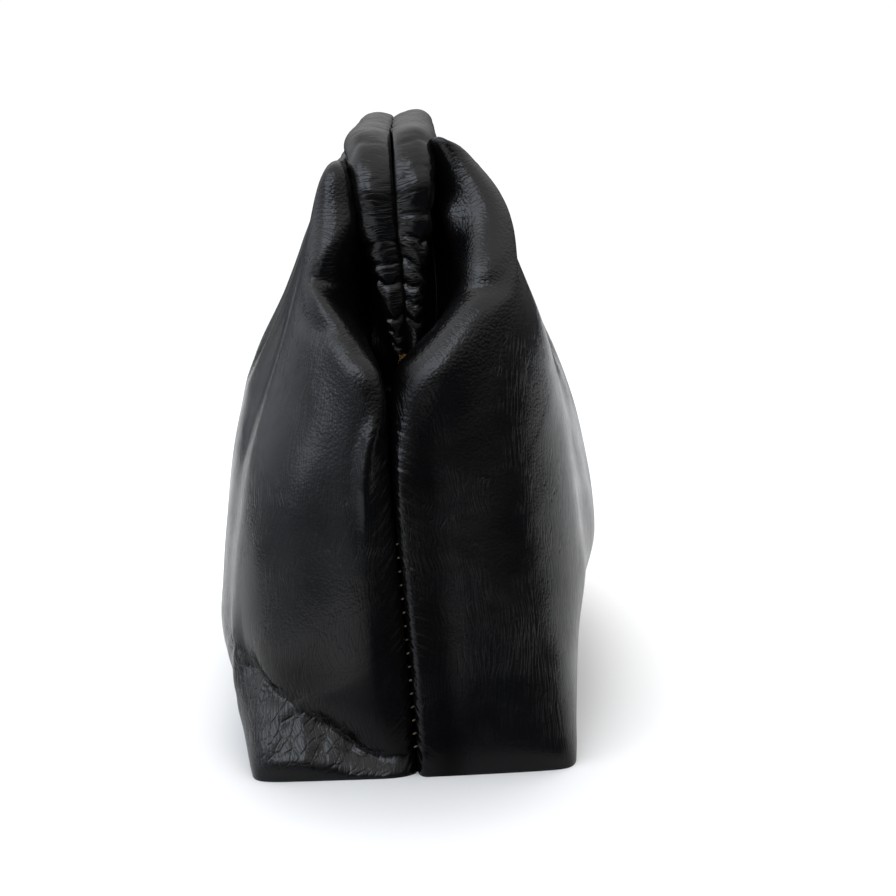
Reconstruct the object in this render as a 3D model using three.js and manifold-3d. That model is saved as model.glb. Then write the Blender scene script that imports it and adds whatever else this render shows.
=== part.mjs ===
// Pouch bag: a soft leather clutch that stands on its base.
// Two leather panels, sewn together down both ends and along the bottom, are gathered onto two
// ruched sleeves that hide a hinged metal frame.
// Millimetres. X runs along the bag, the front panel is at -Y, Z is up, the origin is under the middle.

import * as THREE from 'three';
import { mergeVertices } from 'three/addons/utils/BufferGeometryUtils.js';
import { ParametricGeometry } from 'three/addons/geometries/ParametricGeometry.js';
import Module from 'manifold-3d';

const wasm = await Module();
wasm.setup();

// Leather thickness, and the sewn edges that turn into the bag
const PANEL_WALL = 1.5;
const SLEEVE_WALL = 1.2;
const CLEARANCE = 0.4;
const SLEEVE_CLEARANCE = 0.7;
const SEAM_GAP = 0.4;
const SEAM_TURN = 4;
const SEAM_TURN_WIDTH = 4.5;
const BASE_SEAM_TURN = 2;
const LIP_RISE = 1.6;
const LIP_WIDTH = 22;
const SEAM_LEAN_RIGHT = -5;
const SEAM_LEAN_LEFT = -3;

// Hinged frame: the hinge line, and the arch that each half makes above it
const HINGE_Y = 2.5;
const HINGE_Z = 138;
const ARM_X = 113;
const ARCH_RISE = 76;
const ARCH_CORNER = 18;
const FRONT_TILT = THREE.MathUtils.degToRad(6.8);
const BACK_TILT = THREE.MathUtils.degToRad(-2);
const ROD_RADIUS = 1.3;
const ROD_OFFSET = 2.9;
const EYE_RADIUS = 3.6;
const EYE_THICKNESS = 1.4;
const ROD_END = 4.8;
const RIVET_RADIUS = 1.3;
const RIVET_HEAD_RADIUS = 2.8;
const RIVET_HEAD_THICKNESS = 1.2;

// Ruched sleeve: its radius grows from the hinge to the top of the arch
const SLEEVE_START = 8;
const SLEEVE_RADIUS_LOW = 2.9;
const SLEEVE_RADIUS_TOP = 7.4;
const RUCHE_DEPTH = 0.07;
const ATTACH_ANGLE = THREE.MathUtils.degToRad(35);

// Gathers that hang from the sleeve down the long sides, deepest a little below it
const GATHER_PITCH = 27;
const GATHER_DEPTH = 2.4;
const GATHER_PEAK = 18;
const GATHER_DROP = 85;
const RELIEF_START = 6;

// Where the panel's path turns the corner, as a share of the way from mid side (0) to seam (1)
const CORNER_SHARE = 0.7;
const CORNER_BAND = 0.1;
const SHOULDER_SHARE = 0.62;
const SHOULDER_BAND = 0.08;
const BASE_SPINE = 108;

// Mesh counts
const SIDE_COLUMNS = 16;
const END_COLUMNS = 11;
const END_CROWDING = 1.5;
const SLEEVE_SIDES = 8;
const SLEEVE_STEPS = 42;
const ROD_SIDES = 6;
const ROD_STEPS = 34;
const ROUND_SIDES = 12;
const WELD_TOLERANCE = 1e-4;

const LEATHER = { color: 0x16161a, roughness: 0.42, metalness: 0 };
const BRASS = { color: 0xc59a4b, roughness: 0.3, metalness: 1 };

// Plan outline of each panel at a height: X at the seam and at the corner, depth in Y at mid side
// and at the corner, and how square the corner is
const SECTION_COLUMNS = ['height', 'seamX', 'cornerX', 'middleY', 'cornerY', 'squareness'];
const FRONT_SECTIONS = table(SECTION_COLUMNS, [
  [0, 162, 160, 53, 58, 14],
  [9, 163, 161, 62, 62, 9],
  [36, 160, 156, 73, 71, 6],
  [60, 157, 151, 75, 68, 5],
  [100, 150, 143, 68, 57, 5],
  [130, 146, 137, 57, 48, 5],
  [155, 142, 133, 45, 42, 5],
  [180, 138, 128, 33, 35, 5],
  [212, 131, 121, 20, 23, 5],
]);
const BACK_SECTIONS = table(SECTION_COLUMNS, [
  [0, 162, 160, 53, 57, 14],
  [9, 163, 161, 58, 59, 9],
  [36, 160, 156, 72, 62, 7],
  [60, 157, 151, 75, 66, 6],
  [100, 151, 145, 69, 68, 6],
  [130, 147, 139, 58, 62, 6],
  [155, 143, 134, 46, 56, 6],
  [180, 139, 129, 34, 48, 6],
  [215, 132, 121, 21, 28, 6],
]);

// Upper fold line of each panel, from mid side over the shoulder and the wing to the seam's top
const RIDGE_COLUMNS = ['share', 'x', 'y', 'z', 'pocket'];
const FRONT_RIDGE = table(RIDGE_COLUMNS, [
  [0, 0, 20, 208, 2],
  [0.3, 62, 20.5, 210, 2],
  [0.52, 100, 21, 211, 3],
  [0.62, 117, 19.5, 209, 5],
  [0.7, 124, 22, 192, 9],
  [0.77, 131, 29, 172, 12],
  [0.87, 139, 18, 150, 9],
  [1, 143, 0, 123, 3],
]);
const BACK_RIDGE = table(RIDGE_COLUMNS, [
  [0, 0, 20.5, 209, 2],
  [0.3, 62, 21, 211, 2],
  [0.52, 100, 21, 214, 3],
  [0.62, 117, 19, 215, 5],
  [0.7, 124, 33, 192, 10],
  [0.77, 132, 31, 170, 12],
  [0.87, 139, 18, 149, 9],
  [1, 143, 0, 123, 3],
]);

// Dents pressed into the leather: which end, how far round, how far up, their reach and depth
const DENT_COLUMNS = ['end', 'share', 'height', 'shareReach', 'heightReach', 'depth'];
const FRONT_DENTS = table(DENT_COLUMNS, [
  [1, 0.76, 14, 0.09, 16, 6],
  [1, 0.9, 6, 0.06, 10, 2],
  [1, 0.74, 152, 0.06, 12, 2.5],
  [1, 0.55, 60, 0.06, 50, 3],
  [-1, 0.74, 26, 0.09, 20, 4],
  [-1, 0.74, 148, 0.06, 12, 2.5],
  [-1, 0.35, 70, 0.08, 45, 3],
]);
const BACK_DENTS = table(DENT_COLUMNS, [
  [1, 0.78, 148, 0.06, 12, 2.5],
  [1, 0.6, 95, 0.06, 40, 2],
  [1, 0.3, 80, 0.08, 50, 3],
  [-1, 0.76, 146, 0.06, 12, 2.5],
  [-1, 0.7, 24, 0.09, 20, 4],
]);

// Panel rows: shares of the way from the bottom seam to the base edge, then from there to the ridge
const BASE_SHARES = [0, 0.08, 0.5, 0.9];
const WALL_SHARES = [0.006, 0.04, 0.11, 0.21, 0.33, 0.46, 0.59, 0.71, 0.82, 0.92, 1];
const RIDGE_BLEND = 0.55;
const RIDGE_SQUARENESS = 6;
const POCKET_SHARE = 0.6;

const PANELS = {
  front: { side: -1, tilt: FRONT_TILT, sections: FRONT_SECTIONS, ridge: FRONT_RIDGE, dents: FRONT_DENTS },
  back: { side: 1, tilt: BACK_TILT, sections: BACK_SECTIONS, ridge: BACK_RIDGE, dents: BACK_DENTS },
};

function table(columns, rows) {
  return rows.map((row) => Object.fromEntries(columns.map((name, i) => [name, row[i]])));
}

// Smooth curve through a table's rows, read at one value of its first column
function readTable(rows, value) {
  const key = Object.keys(rows[0])[0];
  const last = rows.length - 1;
  let i = rows.findIndex((row) => row[key] >= value) - 1;
  if (i === -2) i = last - 1;
  i = THREE.MathUtils.clamp(i, 0, last - 1);
  const before = rows[Math.max(i - 1, 0)];
  const from = rows[i];
  const to = rows[i + 1];
  const after = rows[Math.min(i + 2, last)];
  const step = to[key] - from[key];
  const w = THREE.MathUtils.clamp((value - from[key]) / step, 0, 1);
  const out = {};
  for (const name of Object.keys(from)) {
    const slopeFrom = ((to[name] - before[name]) / (to[key] - before[key])) * step;
    const slopeTo = ((after[name] - from[name]) / (after[key] - from[key])) * step;
    const rise = from[name] - to[name];
    out[name] = from[name] + w * (slopeFrom + w * (-3 * rise - 2 * slopeFrom - slopeTo
      + w * (2 * rise + slopeFrom + slopeTo)));
  }
  return out;
}

function smooth(from, to, value) {
  return THREE.MathUtils.smoothstep(value, from, to);
}

function bell(distance, reach) {
  return Math.exp(-((distance / reach) ** 2));
}

// Depth that the sewn edge turns in, and the swell beside it, at a distance from the seam
function seamTurn(depth, distance) {
  return depth * (1 - smooth(0, SEAM_TURN_WIDTH, distance));
}

function lipRise(distance) {
  const rise = smooth(0, SEAM_TURN_WIDTH, distance);
  return LIP_RISE * rise * (1 - smooth(SEAM_TURN_WIDTH, LIP_WIDTH, distance));
}

// Sideways lean of an end seam at a height
function seamLean(end, height) {
  const lean = end > 0 ? SEAM_LEAN_RIGHT : SEAM_LEAN_LEFT;
  return lean * smooth(0, FRONT_RIDGE.at(-1).z, height);
}

// Corner of the plan path as a point of a rounded unit square
function roundedSquare(share, squareness) {
  const along = Math.min(share / CORNER_SHARE, 1);
  const inward = Math.min((1 - share) / (1 - CORNER_SHARE), 1);
  const reach = (along ** squareness + inward ** squareness) ** (1 / squareness);
  return [along / reach, inward / reach];
}

// Point of the panel's outline at one height, on the outside of the leather
function outlinePoint(panel, end, share, height) {
  const section = readTable(panel.sections, height);
  const [along, inward] = roundedSquare(share, section.squareness);
  const reachX = THREE.MathUtils.lerp(section.seamX, section.cornerX, inward * inward);
  const reachY = THREE.MathUtils.lerp(section.middleY, section.cornerY, along * along);
  const distance = inward * reachY;
  const face = smooth(CORNER_SHARE - CORNER_BAND, CORNER_SHARE + CORNER_BAND, share);
  const x = along * reachX + face * (lipRise(distance) - seamTurn(SEAM_TURN, distance));
  const y = panel.side * (distance + SEAM_GAP / 2) + seamLean(end, height) * (1 - inward);
  return new THREE.Vector3(end * x, y, height);
}

// Point of the flat base, between the bottom seam and the base edge
function basePoint(panel, end, share, reach) {
  const edge = outlinePoint(panel, end, share, 0);
  const x = THREE.MathUtils.lerp(end * BASE_SPINE * share, edge.x, reach);
  const distance = Math.abs(edge.y) * reach;
  const y = panel.side * Math.max(distance, SEAM_GAP / 2);
  return new THREE.Vector3(x, y, seamTurn(BASE_SEAM_TURN, distance));
}

// Centre line of a frame half above the hinge, by the distance from mid top: top, corner and arm
const ARM_LENGTH = ARCH_RISE - ARCH_CORNER - SLEEVE_START;
const CORNER_LENGTH = (Math.PI / 2) * ARCH_CORNER;
const TOP_LENGTH = ARM_X - ARCH_CORNER;
const ARCH_LENGTH = ARM_LENGTH + CORNER_LENGTH + TOP_LENGTH;

function archPoint(distance) {
  if (distance < TOP_LENGTH) return { x: distance, rise: ARCH_RISE, inX: 0, inRise: -1 };
  if (distance < TOP_LENGTH + CORNER_LENGTH) {
    const turn = (distance - TOP_LENGTH) / ARCH_CORNER;
    return {
      x: TOP_LENGTH + ARCH_CORNER * Math.sin(turn),
      rise: ARCH_RISE - ARCH_CORNER * (1 - Math.cos(turn)),
      inX: -Math.sin(turn),
      inRise: -Math.cos(turn),
    };
  }
  const drop = distance - TOP_LENGTH - CORNER_LENGTH;
  return { x: ARM_X, rise: ARCH_RISE - ARCH_CORNER - drop, inX: -1, inRise: 0 };
}

function sleeveRadius(rise) {
  const share = smooth(0, 1, (rise - SLEEVE_START) / (ARCH_RISE - SLEEVE_START));
  return THREE.MathUtils.lerp(SLEEVE_RADIUS_LOW, SLEEVE_RADIUS_TOP, share);
}

// A point beside a frame half: x along the bag, out from the half's plane, rise above the hinge
function fromHinge(panel, x, out, rise) {
  const y = panel.side * (ROD_OFFSET + out);
  const cos = Math.cos(panel.tilt);
  const sin = Math.sin(panel.tilt);
  return new THREE.Vector3(x, HINGE_Y + y * cos - rise * sin, HINGE_Z + y * sin + rise * cos);
}

// Place on the arch that a share of the panel's upper edge hangs from
function archAtShare(share) {
  const top = Math.min(share / SHOULDER_SHARE, 1) * (TOP_LENGTH + CORNER_LENGTH / 2);
  const past = Math.max((share - SHOULDER_SHARE) / (1 - SHOULDER_SHARE), 0);
  return archPoint(top + past * (ARM_LENGTH + CORNER_LENGTH / 2));
}

// Point where the panel's upper edge meets the sleeve
function sleeveEdgePoint(panel, end, share) {
  const at = archAtShare(share);
  const reach = sleeveRadius(at.rise) * (1 + RUCHE_DEPTH) + SLEEVE_CLEARANCE;
  const inward = reach * Math.sin(ATTACH_ANGLE);
  const out = reach * Math.cos(ATTACH_ANGLE);
  return fromHinge(panel, end * (at.x + at.inX * inward), out, at.rise + at.inRise * inward);
}

// One column of the panel, from the bottom seam up to the sleeve
function panelColumn(panel, end, share) {
  const fold = readTable(panel.ridge, share);
  const lean = seamLean(end, fold.z) * (1 - roundedSquare(share, RIDGE_SQUARENESS)[1]);
  const ridge = new THREE.Vector3(end * fold.x, panel.side * (fold.y + SEAM_GAP / 2) + lean, fold.z);
  const miss = ridge.clone().sub(outlinePoint(panel, end, share, fold.z));
  const wall = WALL_SHARES.map((reach) => outlinePoint(panel, end, share, reach * fold.z)
    .addScaledVector(miss, smooth(RIDGE_BLEND, 1, reach)));
  const edge = sleeveEdgePoint(panel, end, share);
  const pocket = ridge.clone().lerp(edge, POCKET_SHARE);
  pocket.y = panel.side * Math.max(panel.side * pocket.y, panel.side * edge.y);
  pocket.z -= fold.pocket;
  const base = BASE_SHARES.map((reach) => basePoint(panel, end, share, reach));
  return [...base, ...wall, pocket, edge];
}

// Height of the gathers, less the depth of the dents, at a point of the panel
function relief(panel, end, share, point) {
  const below = readTable(panel.ridge, share).z - point.z;
  const onSide = 1 - smooth(SHOULDER_SHARE - SHOULDER_BAND, SHOULDER_SHARE + SHOULDER_BAND, share);
  const hang = smooth(0, GATHER_PEAK, below) * (1 - smooth(GATHER_PEAK, GATHER_DROP, below));
  const wave = Math.cos((2 * Math.PI * point.x) / GATHER_PITCH + panel.side);
  let height = GATHER_DEPTH * onSide * hang * wave;
  for (const dent of panel.dents.filter((row) => row.end === end)) {
    const across = bell(share - dent.share, dent.shareReach);
    height -= dent.depth * across * bell(point.z - dent.height, dent.heightReach);
  }
  return height * smooth(0, RELIEF_START, point.z);
}

function gridNormals(grid) {
  const columns = grid.length - 1;
  const rows = grid[0].length - 1;
  return grid.map((column, c) => column.map((point, r) => {
    const across = grid[Math.min(c + 1, columns)][r].clone().sub(grid[Math.max(c - 1, 0)][r]);
    const up = grid[c][Math.min(r + 1, rows)].clone().sub(grid[c][Math.max(r - 1, 0)]);
    return across.cross(up).normalize();
  }));
}

// Shares of the way from the left seam (-1) past mid side (0) to the right seam (1)
function columnShares() {
  const half = [];
  for (let i = 1; i <= SIDE_COLUMNS; i += 1) half.push((CORNER_SHARE * i) / SIDE_COLUMNS);
  for (let i = 1; i <= END_COLUMNS; i += 1) {
    half.push(1 - (1 - CORNER_SHARE) * (1 - i / END_COLUMNS) ** END_CROWDING);
  }
  return [...half.map((share) => -share).reverse(), 0, ...half];
}

function panelGeometry(panel) {
  const shares = columnShares();
  const grid = shares.map((share) => panelColumn(panel, Math.sign(share) || 1, Math.abs(share)));
  const outward = -panel.side;
  const rows = grid[0].length - 1;
  const normals = gridNormals(grid);
  grid.forEach((column, c) => column.forEach((point, r) => {
    if (r < BASE_SHARES.length || r >= rows - 1) return;
    const end = Math.sign(shares[c]) || 1;
    const height = relief(panel, end, Math.abs(shares[c]), point);
    point.addScaledVector(normals[c][r], outward * height);
  }));
  const skin = gridNormals(grid);
  skin.forEach((column, c) => {
    const at = archAtShare(Math.abs(shares[c]));
    column[rows].set(-Math.sign(shares[c]) * at.inX, 0, -at.inRise).multiplyScalar(outward);
  });
  const box = new THREE.BoxGeometry(1, 1, 1, shares.length - 1, rows, 1);
  return mapVertices(box, (at) => {
    const c = Math.round((at.x + 0.5) * (shares.length - 1));
    const r = Math.round((at.y + 0.5) * rows);
    const depth = (0.5 - at.z) * PANEL_WALL;
    return grid[c][r].clone().addScaledVector(skin[c][r], -outward * depth);
  });
}

// A ruched tube with open ends: out along the outer skin and back along the inner one
function sleeveGeometry(panel) {
  const loop = 2 * SLEEVE_STEPS + 2;
  const tube = new ParametricGeometry((around, along, target) => {
    const step = Math.round(along * loop) % loop;
    const inner = step > SLEEVE_STEPS;
    const index = inner ? 2 * SLEEVE_STEPS + 1 - step : step;
    const distance = (index / SLEEVE_STEPS - 0.5) * 2 * ARCH_LENGTH;
    const at = archPoint(Math.abs(distance));
    const ruche = 1 + RUCHE_DEPTH * (index % 2 === 0 ? -1 : 1);
    const radius = sleeveRadius(at.rise) * ruche - (inner ? SLEEVE_WALL : 0);
    const angle = 2 * Math.PI * around;
    const inward = radius * Math.sin(angle);
    const x = Math.sign(distance) * (at.x + at.inX * inward);
    target.copy(fromHinge(panel, x, radius * Math.cos(angle), at.rise + at.inRise * inward));
  }, SLEEVE_SIDES, loop);
  return outwardFacing(weld(tube));
}

function weld(geometry) {
  geometry.deleteAttribute('normal');
  geometry.deleteAttribute('uv');
  return mergeVertices(geometry, WELD_TOLERANCE);
}

function mapVertices(geometry, place) {
  const position = geometry.attributes.position;
  const at = new THREE.Vector3();
  for (let i = 0; i < position.count; i += 1) {
    at.fromBufferAttribute(position, i);
    position.setXYZ(i, ...place(at).toArray());
  }
  return outwardFacing(weld(geometry));
}

// Turns a closed surface's triangles to face out of it
function outwardFacing(geometry) {
  const position = geometry.attributes.position;
  const index = geometry.index;
  const corners = [new THREE.Vector3(), new THREE.Vector3(), new THREE.Vector3()];
  let volume = 0;
  for (let i = 0; i < index.count; i += 3) {
    corners.forEach((corner, k) => corner.fromBufferAttribute(position, index.getX(i + k)));
    volume += corners[0].dot(corners[1].clone().cross(corners[2]));
  }
  if (volume < 0) index.array.reverse();
  geometry.computeVertexNormals();
  return geometry;
}

function toSolid(geometry) {
  const merged = outwardFacing(weld(geometry.clone()));
  const vertProperties = new Float32Array(merged.attributes.position.array);
  const triVerts = new Uint32Array(merged.index.array);
  return new wasm.Manifold(new wasm.Mesh({ numProp: 3, vertProperties, triVerts }));
}

function toGeometry(solid) {
  const mesh = solid.getMesh();
  const geometry = new THREE.BufferGeometry();
  geometry.setAttribute('position', new THREE.BufferAttribute(mesh.vertProperties, 3));
  geometry.setIndex(new THREE.BufferAttribute(mesh.triVerts, 1));
  geometry.computeVertexNormals();
  return geometry;
}

// A round bar or plate along X, centred on a point of the hinge line
function roundAlongX(radius, length, x) {
  const bar = new THREE.CylinderGeometry(radius, radius, length, ROUND_SIDES);
  return bar.rotateZ(Math.PI / 2).translate(x, HINGE_Y, HINGE_Z);
}

// Frame half: a bent rod whose ends are joined by lugs to eyes on the hinge line
function frameGeometry(panel) {
  const reach = ARCH_LENGTH + SLEEVE_START - ROD_END;
  const points = [];
  for (let i = 0; i <= ROD_STEPS; i += 1) {
    const distance = (i / ROD_STEPS - 0.5) * 2 * reach;
    const at = archPoint(Math.abs(distance));
    points.push(fromHinge(panel, Math.sign(distance) * at.x, 0, at.rise));
  }
  const section = new THREE.Shape();
  for (let i = 0; i < ROD_SIDES; i += 1) {
    const angle = (2 * Math.PI * i) / ROD_SIDES;
    const corner = [ROD_RADIUS * Math.cos(angle), ROD_RADIUS * Math.sin(angle)];
    if (i === 0) section.moveTo(...corner);
    else section.lineTo(...corner);
  }
  const rod = new THREE.ExtrudeGeometry(section, {
    steps: ROD_STEPS,
    extrudePath: new THREE.CatmullRomCurve3(points),
  });
  let solid = toSolid(rod);
  for (const end of [-1, 1]) {
    const eyeX = end * eyeCentre(panel);
    const bore = toSolid(roundAlongX(RIVET_RADIUS + CLEARANCE, 4 * EYE_THICKNESS, eyeX));
    solid = solid.add(toSolid(lugGeometry(panel, eyeX)));
    solid = solid.add(toSolid(roundAlongX(EYE_RADIUS, EYE_THICKNESS, eyeX))).subtract(bore);
  }
  return toGeometry(solid);
}

// Flat lug between a rod's end and its eye
function lugGeometry(panel, eyeX) {
  const top = fromHinge(panel, eyeX, 0, ROD_END + ROD_RADIUS);
  const eye = new THREE.Vector3(eyeX, HINGE_Y, HINGE_Z);
  const lug = new THREE.BoxGeometry(EYE_THICKNESS, 2 * ROD_RADIUS, top.distanceTo(eye));
  lug.rotateX(-Math.atan2(top.y - eye.y, top.z - eye.z));
  const middle = top.add(eye).multiplyScalar(0.5);
  return lug.translate(...middle.toArray());
}

// The front half's eyes lie outside the back half's
function eyeCentre(panel) {
  return ARM_X - panel.side * (EYE_THICKNESS + CLEARANCE) / 2;
}

function rivetGeometry(end) {
  const grip = 2 * EYE_THICKNESS + 3 * CLEARANCE;
  const shank = toSolid(roundAlongX(RIVET_RADIUS, grip + RIVET_HEAD_THICKNESS, end * ARM_X));
  const headX = (grip + RIVET_HEAD_THICKNESS) / 2;
  let rivet = shank;
  for (const way of [-1, 1]) {
    const head = roundAlongX(RIVET_HEAD_RADIUS, RIVET_HEAD_THICKNESS, end * ARM_X + way * headX);
    rivet = rivet.add(toSolid(head));
  }
  return toGeometry(rivet);
}

function piece(name, geometry, look) {
  const mesh = new THREE.Mesh(geometry, new THREE.MeshStandardMaterial(look));
  mesh.name = name;
  return mesh;
}

const bag = new THREE.Group();
for (const [name, panel] of Object.entries(PANELS)) {
  bag.add(piece(`${name}_panel`, panelGeometry(panel), LEATHER));
  bag.add(piece(`${name}_sleeve`, sleeveGeometry(panel), LEATHER));
  bag.add(piece(`${name}_frame`, frameGeometry(panel), BRASS));
}
bag.add(piece('hinge_rivet_right', rivetGeometry(1), BRASS));
bag.add(piece('hinge_rivet_left', rivetGeometry(-1), BRASS));

export default bag;
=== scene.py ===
"""Leather pouch bag: the looks of a soft black clutch on a hinged inner frame.

The add-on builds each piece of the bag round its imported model, in metres, in the model's own frame:
X runs along the bag, the front panel is at -Y, and the bag stands on Z = 0.
"""

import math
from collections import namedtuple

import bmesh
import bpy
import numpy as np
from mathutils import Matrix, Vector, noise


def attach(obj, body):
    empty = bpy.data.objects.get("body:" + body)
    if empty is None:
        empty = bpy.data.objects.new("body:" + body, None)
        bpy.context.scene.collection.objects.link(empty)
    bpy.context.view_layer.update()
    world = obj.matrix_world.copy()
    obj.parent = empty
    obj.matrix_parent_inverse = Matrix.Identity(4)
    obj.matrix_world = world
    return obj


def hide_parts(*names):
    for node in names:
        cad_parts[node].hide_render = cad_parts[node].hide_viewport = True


bl_info = {
    "name": "Leather Pouch Bag",
    "version": (1, 0, 0),
    "blender": (4, 5, 0),
    "location": "3D View > Sidebar > Pouch Bag",
    "description": "Builds a soft black leather pouch bag on a hinged inner frame",
    "category": "Object",
}

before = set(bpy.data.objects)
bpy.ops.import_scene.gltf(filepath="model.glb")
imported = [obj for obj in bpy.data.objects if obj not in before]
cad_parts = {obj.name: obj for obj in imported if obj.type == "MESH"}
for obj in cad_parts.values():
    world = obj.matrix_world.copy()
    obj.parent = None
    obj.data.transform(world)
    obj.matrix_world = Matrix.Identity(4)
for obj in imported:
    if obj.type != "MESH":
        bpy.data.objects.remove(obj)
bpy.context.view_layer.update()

MM = 0.001
BODY = "root"
# the inside mark is painted shade: it lowers the leather's gloss in the pockets and beside the near seam
LEATHER_MARKS = ("crease", "inside", "pucker", "bent")

# Seams between the panels, in millimetres; the painted shade (a drop in gloss) lies where each panel falls
# away beside the near seam
SEAM_GAP = 0.12
SEAM_DEPTH = 6.0
SEAM_SCALE = 190.0
BASE_SEAM_TURN = 2.0
SEAM_LEAN = {1: -5.0, -1: -3.0}
SEAM_TOP = 123.0
PUCKER_REACH = 4.0
SHADE_PLACE = {"front": 1.0, "back": 11.0}
SHADE_REACH = {"front": 8.0, "back": 6.0}

# Hinged frame: the hinge line and the arch of each half above it, in millimetres
HINGE_Y = 2.5
HINGE_Z = 138.0
ARM_X = 113.0
ARCH_RISE = 76.0
ARCH_CORNER = 18.0
ROD_OFFSET = 2.9
SLEEVE_START = 8.0
SLEEVE_RADIUS_LOW = 2.9
SLEEVE_RADIUS_TOP = 7.4
SLEEVE_CLEARANCE = 0.7
SLEEVE_SWELL = 1.07
ATTACH_TOP = math.radians(35)
ATTACH_ARM = math.radians(68)
ARM_LENGTH = ARCH_RISE - ARCH_CORNER - SLEEVE_START
CORNER_LENGTH = math.pi / 2 * ARCH_CORNER
TOP_LENGTH = ARM_X - ARCH_CORNER
ARCH_LENGTH = ARM_LENGTH + CORNER_LENGTH + TOP_LENGTH

# The way round a panel, as a share from mid side (0) to the end seam (1), and its length
CORNER_SHARE = 0.7
SHOULDER_SHARE = 0.62
SHARE_LENGTH = 216.0
BASE_SPINE = 108.0

# The far end's shoulders sit lower and narrower than the near end's
FAR_DROP = 10.0
FAR_NARROW = 0.09

# The way up a panel: how far the wall follows the plan, and how far the roll at its top turns
WALL_SHARE = 0.58
RISE_BLEND = 0.87
ROLL_TURN = math.radians(140)
POCKET_SHARE = 0.55
THROAT_X = 104.5
THROAT_Z = 149.0


class Table:
    """Rows of a short table, read anywhere along the first column as a smooth curve."""

    def __init__(self, columns, *rows):
        self.columns = columns.split()
        self.rows = np.array(rows, float)

    def at(self, value):
        rows = self.rows
        key = rows[:, 0]
        value = np.clip(np.asarray(value, float), key[0], key[-1])
        low = np.clip(np.searchsorted(key, value, side="right") - 1, 0, len(key) - 2)
        start, stop = rows[low], rows[low + 1]
        before = rows[np.maximum(low - 1, 0)]
        after = rows[np.minimum(low + 2, len(key) - 1)]
        step = stop[..., :1] - start[..., :1]
        w = (value[..., None] - start[..., :1]) / step
        slope_in = (stop - before) / (stop[..., :1] - before[..., :1]) * step
        slope_out = (after - start) / (after[..., :1] - start[..., :1]) * step
        rise = start - stop
        bend = -3 * rise - 2 * slope_in - slope_out
        read = start + w * (slope_in + w * (bend + w * (2 * rise + slope_in + slope_out)))
        return dict(zip(self.columns, np.moveaxis(read, -1, 0)))

    def named(self):
        return [dict(zip(self.columns, row)) for row in self.rows]


SECTION_COLUMNS = "height seam_x corner_x middle_y corner_y squareness"
RIDGE_COLUMNS = "share x y z roll pocket"
CREASE_COLUMNS = "end share_a height_a share_b height_b depth above below crazed"
SWELL_COLUMNS = "end share height share_reach height_reach rise"
TUCK_COLUMNS = "end apex_y apex_z upper_y upper_z lower_y lower_z upper_slope lower_slope depth edge"

Panel = namedtuple("Panel", "name side tilt seam_roll sections ridge creases swells tucks")

FRONT = Panel(
    name="front",
    side=-1,
    tilt=math.radians(6.8),
    seam_roll=11.0,
    sections=Table(
        SECTION_COLUMNS,
        (0, 162, 160, 53, 60, 20),
        (9, 163, 161, 60, 62.5, 12),
        (36, 161, 156, 72, 71.5, 7),
        (60, 158, 149, 73, 68, 6),
        (100, 152, 141, 67.5, 60, 5.5),
        (130, 148, 136, 60, 50, 4.5),
        (155, 143, 135, 46, 43, 4),
        (180, 138, 131, 34, 37, 4),
        (212, 131, 121, 22, 22, 6),
    ),
    ridge=Table(
        RIDGE_COLUMNS,
        (0.0, 0, 18, 209.5, 2.5, 0.3),
        (0.3, 62, 18, 209.5, 2.5, 0.3),
        (0.5, 97, 19, 210, 3.5, 2),
        (0.62, 117, 20, 209, 5, 12),
        (0.68, 121, 19, 194, 8, 24),
        (0.74, 126, 18, 178, 9, 32),
        (0.8, 131.5, 16, 163, 8, 34),
        (0.87, 138, 8.5, 149, 8, 30),
        (0.94, 143, 2.6, 139.5, 6, 22),
        (1.0, 145, 0, 123, 2, 8),
    ),
    creases=Table(
        CREASE_COLUMNS,
        (1, 0.58, 42, 0.72, 37, 3.5, 14, 32, 1),
        (1, 0.72, 37, 0.81, 27, 10, 14, 31, 1),
        (1, 0.81, 27, 0.94, 4, 8.5, 13, 25, 1),
        (1, 0.75, 157, 0.84, 153, 1.0, 4, 6, 0.3),
    ),
    swells=Table(
        SWELL_COLUMNS,
        (1, 0.94, 75, 0.05, 70, 2.5),
        (1, 0.964, 117, 0.012, 10, 2.6),
        (1, 0.952, 103, 0.014, 12, 2.6),
        (1, 0.55, 95, 0.07, 60, -2.5),
        (-1, 0.74, 40, 0.09, 26, -2),
        (-1, 0.35, 70, 0.08, 45, -3),
    ),
    tucks=Table(
        TUCK_COLUMNS,
        (1, 32, 171, 16, 187, 8, 142, 1.1, 2.2, 20, 0.8),
        (-1, 31, 184, 15, 200, 16, 158, 1.3, 1.2, 14, 2.0),
    ),
)

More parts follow.
